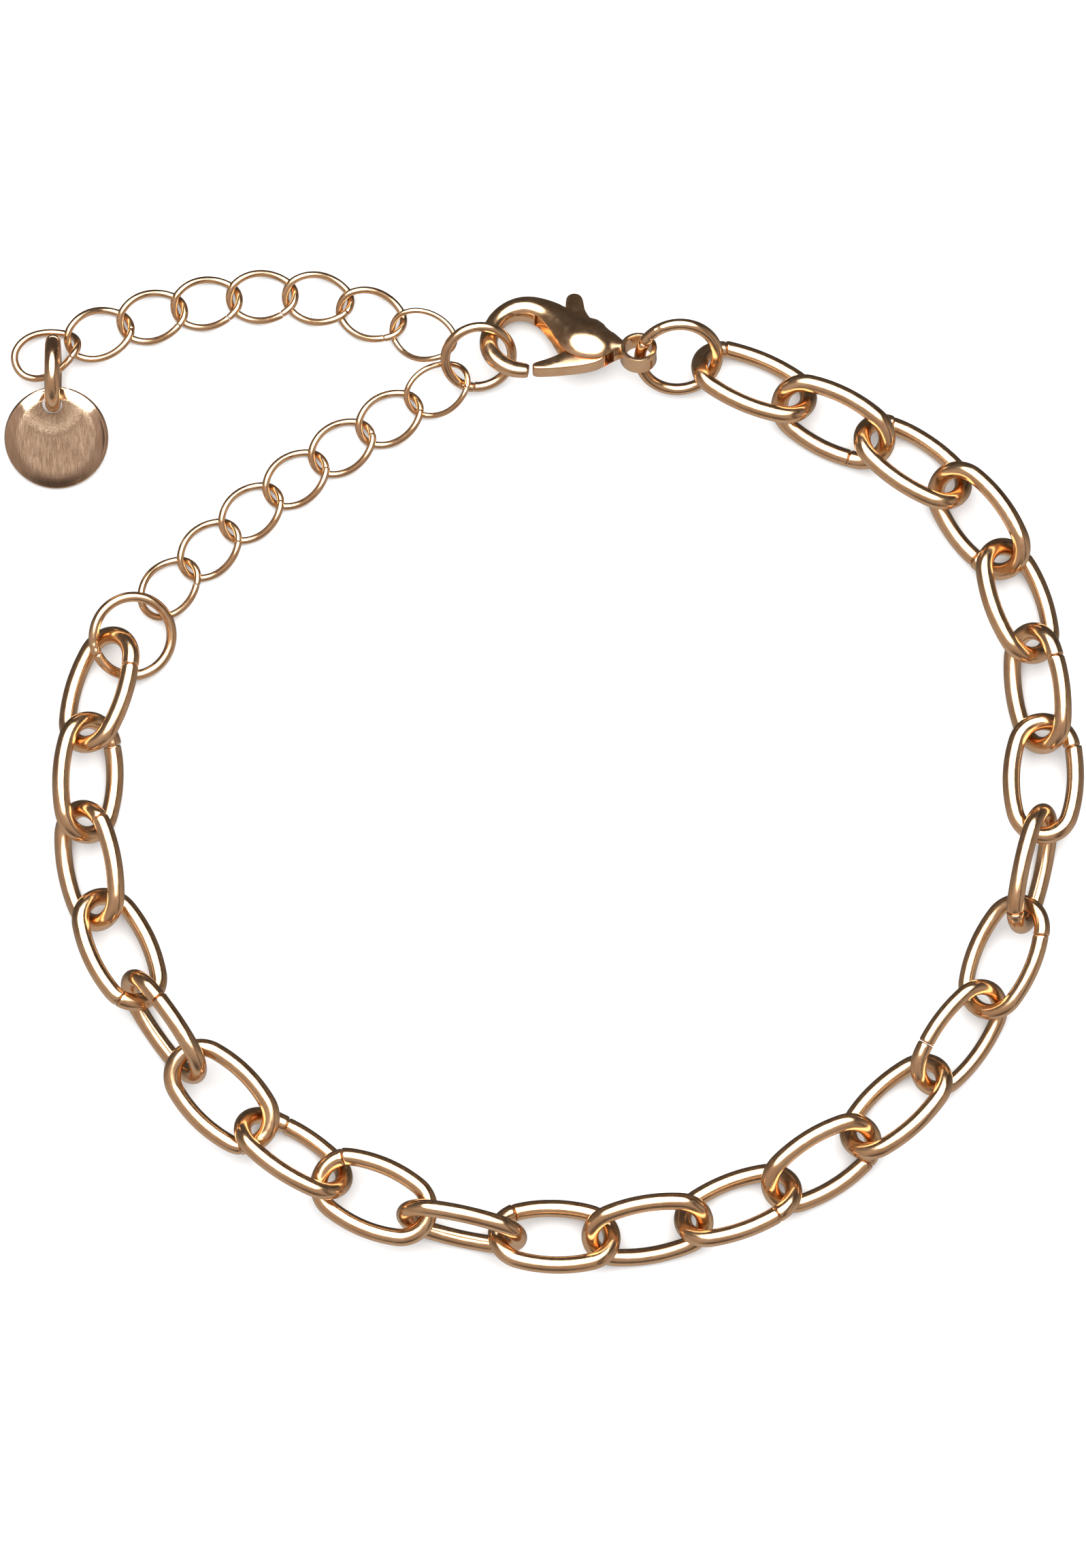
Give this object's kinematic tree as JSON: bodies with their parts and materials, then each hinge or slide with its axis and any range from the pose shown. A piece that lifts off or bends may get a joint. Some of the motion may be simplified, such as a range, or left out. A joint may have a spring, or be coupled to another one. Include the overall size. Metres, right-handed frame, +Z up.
{
  "type": "oval-link chain bracelet",
  "caption": "Closed chain bracelet of round-wire oval links with a lobster clasp, rings, a curb-link extender and a round tag.",
  "frame": {"origin": "under the middle of the laid-out bracelet, on the surface that it lies on", "axes": "+X along the clasp from its hook to its eye, +Y away from the loop across the clasp, +Z up"},
  "size_m": [0.0734, 0.0688, 0.0053],
  "materials": {
    "polished_rose_gold": "polished plated brass, rose to champagne gold",
    "satin_rose_gold": "fine vertical satin grain with a polished rim",
    "spring_steel": "plain drawn spring wire"
  },
  "bodies": {
    "clasp": {"clasp_body": "polished_rose_gold", "clasp_pivot_pin": "polished_rose_gold", "clasp_spring": "spring_steel"},
    "clasp_trigger": {"clasp_trigger": "polished_rose_gold"},
    "ring_clasp_side": {"ring_clasp_side": "polished_rose_gold"},
    "oval_link_01": {"oval_link_01": "polished_rose_gold"},
    "oval_link_02": {"oval_link_02": "polished_rose_gold"},
    "oval_link_03": {"oval_link_03": "polished_rose_gold"},
    "oval_link_04": {"oval_link_04": "polished_rose_gold"},
    "oval_link_05": {"oval_link_05": "polished_rose_gold"},
    "oval_link_06": {"oval_link_06": "polished_rose_gold"},
    "oval_link_07": {"oval_link_07": "polished_rose_gold"},
    "oval_link_08": {"oval_link_08": "polished_rose_gold"},
    "oval_link_09": {"oval_link_09": "polished_rose_gold"},
    "oval_link_10": {"oval_link_10": "polished_rose_gold"},
    "oval_link_11": {"oval_link_11": "polished_rose_gold"},
    "oval_link_12": {"oval_link_12": "polished_rose_gold"},
    "oval_link_13": {"oval_link_13": "polished_rose_gold"},
    "oval_link_14": {"oval_link_14": "polished_rose_gold"},
    "oval_link_15": {"oval_link_15": "polished_rose_gold"},
    "oval_link_16": {"oval_link_16": "polished_rose_gold"},
    "oval_link_17": {"oval_link_17": "polished_rose_gold"},
    "oval_link_18": {"oval_link_18": "polished_rose_gold"},
    "oval_link_19": {"oval_link_19": "polished_rose_gold"},
    "oval_link_20": {"oval_link_20": "polished_rose_gold"},
    "oval_link_21": {"oval_link_21": "polished_rose_gold"},
    "oval_link_22": {"oval_link_22": "polished_rose_gold"},
    "oval_link_23": {"oval_link_23": "polished_rose_gold"},
    "oval_link_24": {"oval_link_24": "polished_rose_gold"},
    "ring_middle": {"ring_middle": "polished_rose_gold"},
    "extender_link_07": {"extender_link_07": "polished_rose_gold"},
    "extender_link_06": {"extender_link_06": "polished_rose_gold"},
    "extender_link_05": {"extender_link_05": "polished_rose_gold"},
    "extender_link_04": {"extender_link_04": "polished_rose_gold"},
    "extender_link_03": {"extender_link_03": "polished_rose_gold"},
    "extender_link_02": {"extender_link_02": "polished_rose_gold"},
    "extender_link_01": {"extender_link_01": "polished_rose_gold"},
    "ring_chain_end": {"ring_chain_end": "polished_rose_gold"},
    "extender_link_08": {"extender_link_08": "polished_rose_gold"},
    "extender_link_09": {"extender_link_09": "polished_rose_gold"},
    "extender_link_10": {"extender_link_10": "polished_rose_gold"},
    "extender_link_11": {"extender_link_11": "polished_rose_gold"},
    "extender_link_12": {"extender_link_12": "polished_rose_gold"},
    "extender_link_13": {"extender_link_13": "polished_rose_gold"},
    "extender_link_14": {"extender_link_14": "polished_rose_gold"},
    "extender_link_15": {"extender_link_15": "polished_rose_gold"},
    "charm_ring": {"charm_ring": "polished_rose_gold"},
    "charm_disc": {"charm_disc": "satin_rose_gold"}
  },
  "joints": [
    {"name": "clasp_ring_swing", "type": "hinge", "parent": "clasp", "child": "ring_clasp_side", "pos_m": [0.00663, 0.02838, 0.0029], "axis": [0, 0, 1], "range_deg": [-8, 8]},
    {"name": "oval_link_01_swing", "type": "hinge", "parent": "ring_clasp_side", "child": "oval_link_01", "pos_m": [0.01131, 0.02785, 0.00185], "axis": [0, 0, 1], "range_deg": [-13.91, 13.91]},
    {"name": "oval_link_02_swing", "type": "hinge", "parent": "oval_link_01", "child": "oval_link_02", "pos_m": [0.01721, 0.02525, 0.00188], "axis": [0, 0, 1], "range_deg": [-5.91, 5.91]},
    {"name": "oval_link_03_swing", "type": "hinge", "parent": "oval_link_02", "child": "oval_link_03", "pos_m": [0.02269, 0.02262, 0.00185], "axis": [0, 0, 1], "range_deg": [-8, 8]},
    {"name": "oval_link_04_swing", "type": "hinge", "parent": "oval_link_03", "child": "oval_link_04", "pos_m": [0.02796, 0.01947, 0.00184], "axis": [0, 0, 1], "range_deg": [-16.03, 16.03]},
    {"name": "oval_link_05_swing", "type": "hinge", "parent": "oval_link_04", "child": "oval_link_05", "pos_m": [0.03159, 0.0145, 0.0018], "axis": [0, 0, 1], "range_deg": [-8.03, 8.03]},
    {"name": "oval_link_06_swing", "type": "hinge", "parent": "oval_link_05", "child": "oval_link_06", "pos_m": [0.0334, 0.00855, 0.00205], "axis": [0, 0, 1], "range_deg": [-8, 8]},
    {"name": "oval_link_07_swing", "type": "hinge", "parent": "oval_link_06", "child": "oval_link_07", "pos_m": [0.03422, 0.00238, 0.00204], "axis": [0, 0, 1], "range_deg": [-16.03, 16.03]},
    {"name": "oval_link_08_swing", "type": "hinge", "parent": "oval_link_07", "child": "oval_link_08", "pos_m": [0.03402, -0.00386, 0.00261], "axis": [0, 0, 1], "range_deg": [-8.03, 8.03]},
    {"name": "oval_link_09_swing", "type": "hinge", "parent": "oval_link_08", "child": "oval_link_09", "pos_m": [0.03266, -0.01002, 0.00252], "axis": [0, 0, 1], "range_deg": [-8, 8]},
    {"name": "oval_link_10_swing", "type": "hinge", "parent": "oval_link_09", "child": "oval_link_10", "pos_m": [0.03019, -0.01584, 0.00183], "axis": [0, 0, 1], "range_deg": [-15.99, 15.99]},
    {"name": "oval_link_11_swing", "type": "hinge", "parent": "oval_link_10", "child": "oval_link_11", "pos_m": [0.02644, -0.021, 0.00197], "axis": [0, 0, 1], "range_deg": [-7.99, 7.99]},
    {"name": "oval_link_12_swing", "type": "hinge", "parent": "oval_link_11", "child": "oval_link_12", "pos_m": [0.02168, -0.02526, 0.00184], "axis": [0, 0, 1], "range_deg": [-8, 8]},
    {"name": "oval_link_13_swing", "type": "hinge", "parent": "oval_link_12", "child": "oval_link_13", "pos_m": [0.01627, -0.02868, 0.00184], "axis": [0, 0, 1], "range_deg": [-16.06, 16.06]},
    {"name": "oval_link_14_swing", "type": "hinge", "parent": "oval_link_13", "child": "oval_link_14", "pos_m": [0.0103, -0.03096, 0.00199], "axis": [0, 0, 1], "range_deg": [-8.06, 8.06]},
    {"name": "oval_link_15_swing", "type": "hinge", "parent": "oval_link_14", "child": "oval_link_15", "pos_m": [0.00398, -0.03202, 0.00186], "axis": [0, 0, 1], "range_deg": [-8, 8]},
    {"name": "oval_link_16_swing", "type": "hinge", "parent": "oval_link_15", "child": "oval_link_16", "pos_m": [-0.00236, -0.03197, 0.00253], "axis": [0, 0, 1], "range_deg": [-16.06, 16.06]},
    {"name": "oval_link_17_swing", "type": "hinge", "parent": "oval_link_16", "child": "oval_link_17", "pos_m": [-0.00856, -0.0306, 0.00264], "axis": [0, 0, 1], "range_deg": [-8.06, 8.06]},
    {"name": "oval_link_18_swing", "type": "hinge", "parent": "oval_link_17", "child": "oval_link_18", "pos_m": [-0.01431, -0.02805, 0.00206], "axis": [0, 0, 1], "range_deg": [-8, 8]},
    {"name": "oval_link_19_swing", "type": "hinge", "parent": "oval_link_18", "child": "oval_link_19", "pos_m": [-0.01955, -0.02461, 0.00206], "axis": [0, 0, 1], "range_deg": [-16.15, 16.15]},
    {"name": "oval_link_20_swing", "type": "hinge", "parent": "oval_link_19", "child": "oval_link_20", "pos_m": [-0.02399, -0.02029, 0.00262], "axis": [0, 0, 1], "range_deg": [-8.15, 8.15]},
    {"name": "oval_link_21_swing", "type": "hinge", "parent": "oval_link_20", "child": "oval_link_21", "pos_m": [-0.02749, -0.01518, 0.00251], "axis": [0, 0, 1], "range_deg": [-8, 8]},
    {"name": "oval_link_22_swing", "type": "hinge", "parent": "oval_link_21", "child": "oval_link_22", "pos_m": [-0.0302, -0.00966, 0.00186], "axis": [0, 0, 1], "range_deg": [-8.05, 8.05]},
    {"name": "oval_link_23_swing", "type": "hinge", "parent": "oval_link_22", "child": "oval_link_23", "pos_m": [-0.03129, -0.00366, 0.00199], "axis": [0, 0, 1], "range_deg": [-8.05, 8.05]},
    {"name": "oval_link_24_swing", "type": "hinge", "parent": "oval_link_23", "child": "oval_link_24", "pos_m": [-0.03098, 0.00248, 0.00198], "axis": [0, 0, 1], "range_deg": [-8.05, 8.05]},
    {"name": "middle_ring_swing", "type": "hinge", "parent": "clasp", "child": "ring_middle", "pos_m": [-0.00236, 0.02929, 0.00251], "axis": [0, 0, 1], "range_deg": [-1.5, 5]},
    {"name": "extender_link_07_swing", "type": "hinge", "parent": "ring_middle", "child": "extender_link_07", "pos_m": [-0.0053, 0.02678, 0.00129], "axis": [0, 0, 1], "range_deg": [-10.08, 3.06]},
    {"name": "extender_link_06_swing", "type": "hinge", "parent": "extender_link_07", "child": "extender_link_06", "pos_m": [-0.00881, 0.02521, 0.00062], "axis": [0, 0, 1], "range_deg": [-1.56, 5.08]},
    {"name": "extender_link_05_swing", "type": "hinge", "parent": "extender_link_06", "child": "extender_link_05", "pos_m": [-0.01209, 0.0232, 0.00062], "axis": [0, 0, 1], "range_deg": [-8, 8]},
    {"name": "extender_link_04_swing", "type": "hinge", "parent": "extender_link_05", "child": "extender_link_04", "pos_m": [-0.01529, 0.02114, 0.00062], "axis": [0, 0, 1], "range_deg": [-16.05, 16.05]},
    {"name": "extender_link_03_swing", "type": "hinge", "parent": "extender_link_04", "child": "extender_link_03", "pos_m": [-0.01839, 0.01891, 0.00062], "axis": [0, 0, 1], "range_deg": [-8.05, 8.05]},
    {"name": "extender_link_02_swing", "type": "hinge", "parent": "extender_link_03", "child": "extender_link_02", "pos_m": [-0.02133, 0.01648, 0.00062], "axis": [0, 0, 1], "range_deg": [-8, 8]},
    {"name": "extender_link_01_swing", "type": "hinge", "parent": "extender_link_02", "child": "extender_link_01", "pos_m": [-0.02414, 0.01388, 0.0006], "axis": [0, 0, 1], "range_deg": [-16.05, 16.05]},
    {"name": "end_ring_swing", "type": "hinge", "parent": "extender_link_01", "child": "ring_chain_end", "pos_m": [-0.02685, 0.01119, 0.00134], "axis": [0, 0, 1], "range_deg": [-8.05, 8.05]},
    {"name": "extender_link_08_swing", "type": "hinge", "parent": "ring_middle", "child": "extender_link_08", "pos_m": [-0.00617, 0.02904, 0.00232], "axis": [0, 0, -1], "range_deg": [-2, 14]},
    {"name": "extender_link_09_swing", "type": "hinge", "parent": "extender_link_08", "child": "extender_link_09", "pos_m": [-0.00988, 0.03056, 0.00064], "axis": [0, 0, 1], "range_deg": [-18, 14]},
    {"name": "extender_link_10_swing", "type": "hinge", "parent": "extender_link_09", "child": "extender_link_10", "pos_m": [-0.01345, 0.03204, 0.00062], "axis": [0, 0, -1], "range_deg": [-14, 18]},
    {"name": "extender_link_11_swing", "type": "hinge", "parent": "extender_link_10", "child": "extender_link_11", "pos_m": [-0.01721, 0.03271, 0.00062], "axis": [0, 0, 1], "range_deg": [-18, 14]},
    {"name": "extender_link_12_swing", "type": "hinge", "parent": "extender_link_11", "child": "extender_link_12", "pos_m": [-0.02105, 0.03248, 0.00062], "axis": [0, 0, -1], "range_deg": [-14, 18]},
    {"name": "extender_link_13_swing", "type": "hinge", "parent": "extender_link_12", "child": "extender_link_13", "pos_m": [-0.02482, 0.03175, 0.00062], "axis": [0, 0, 1], "range_deg": [-18, 14]},
    {"name": "extender_link_14_swing", "type": "hinge", "parent": "extender_link_13", "child": "extender_link_14", "pos_m": [-0.02848, 0.03063, 0.0006], "axis": [0, 0, -1], "range_deg": [-14, 18]},
    {"name": "extender_link_15_swing", "type": "hinge", "parent": "extender_link_14", "child": "extender_link_15", "pos_m": [-0.03206, 0.0293, 0.00108], "axis": [0, 0, 1], "range_deg": [-18, 14]},
    {"name": "charm_ring_swing", "type": "hinge", "parent": "extender_link_15", "child": "charm_ring", "pos_m": [-0.03335, 0.02716, 0.00152], "axis": [0, 0, -1], "range_deg": [-8, 8]},
    {"name": "charm_disc_lift", "type": "hinge", "parent": "charm_ring", "child": "charm_disc", "pos_m": [-0.03315, 0.02533, 0.00248], "axis": [-1, 0, 0], "range_deg": [0, 35]},
    {"name": "trigger_press", "type": "hinge", "parent": "clasp", "child": "clasp_trigger", "pos_m": [0.00335, 0.0289, 0.00256], "axis": [0, -0.5, -0.866], "range_deg": [0, 25], "stiffness_Nm_per_rad": 0.00002}
  ],
  "couplings": [
    {"joint": "oval_link_01_swing", "follows": "clasp_ring_swing", "ratio": -1.733},
    {"joint": "oval_link_02_swing", "follows": "clasp_ring_swing", "ratio": 0.733},
    {"joint": "oval_link_04_swing", "follows": "oval_link_03_swing", "ratio": -1.997},
    {"joint": "oval_link_05_swing", "follows": "oval_link_03_swing", "ratio": 0.997},
    {"joint": "oval_link_07_swing", "follows": "oval_link_06_swing", "ratio": -1.998},
    {"joint": "oval_link_08_swing", "follows": "oval_link_06_swing", "ratio": 0.998},
    {"joint": "oval_link_10_swing", "follows": "oval_link_09_swing", "ratio": -1.992},
    {"joint": "oval_link_11_swing", "follows": "oval_link_09_swing", "ratio": 0.992},
    {"joint": "oval_link_13_swing", "follows": "oval_link_12_swing", "ratio": -2.001},
    {"joint": "oval_link_14_swing", "follows": "oval_link_12_swing", "ratio": 1.001},
    {"joint": "oval_link_16_swing", "follows": "oval_link_15_swing", "ratio": -2.001},
    {"joint": "oval_link_17_swing", "follows": "oval_link_15_swing", "ratio": 1.001},
    {"joint": "oval_link_19_swing", "follows": "oval_link_18_swing", "ratio": -2.012},
    {"joint": "oval_link_20_swing", "follows": "oval_link_18_swing", "ratio": 1.012},
    {"joint": "oval_link_22_swing", "follows": "oval_link_21_swing", "ratio": -1},
    {"joint": "oval_link_23_swing", "follows": "oval_link_21_swing", "ratio": -1},
    {"joint": "oval_link_24_swing", "follows": "oval_link_21_swing", "ratio": 1},
    {"joint": "extender_link_07_swing", "follows": "middle_ring_swing", "ratio": -2.006},
    {"joint": "extender_link_06_swing", "follows": "middle_ring_swing", "ratio": 1.006},
    {"joint": "extender_link_04_swing", "follows": "extender_link_05_swing", "ratio": -2},
    {"joint": "extender_link_03_swing", "follows": "extender_link_05_swing", "ratio": 1},
    {"joint": "extender_link_01_swing", "follows": "extender_link_02_swing", "ratio": -2},
    {"joint": "end_ring_swing", "follows": "extender_link_02_swing", "ratio": 1}
  ]
}
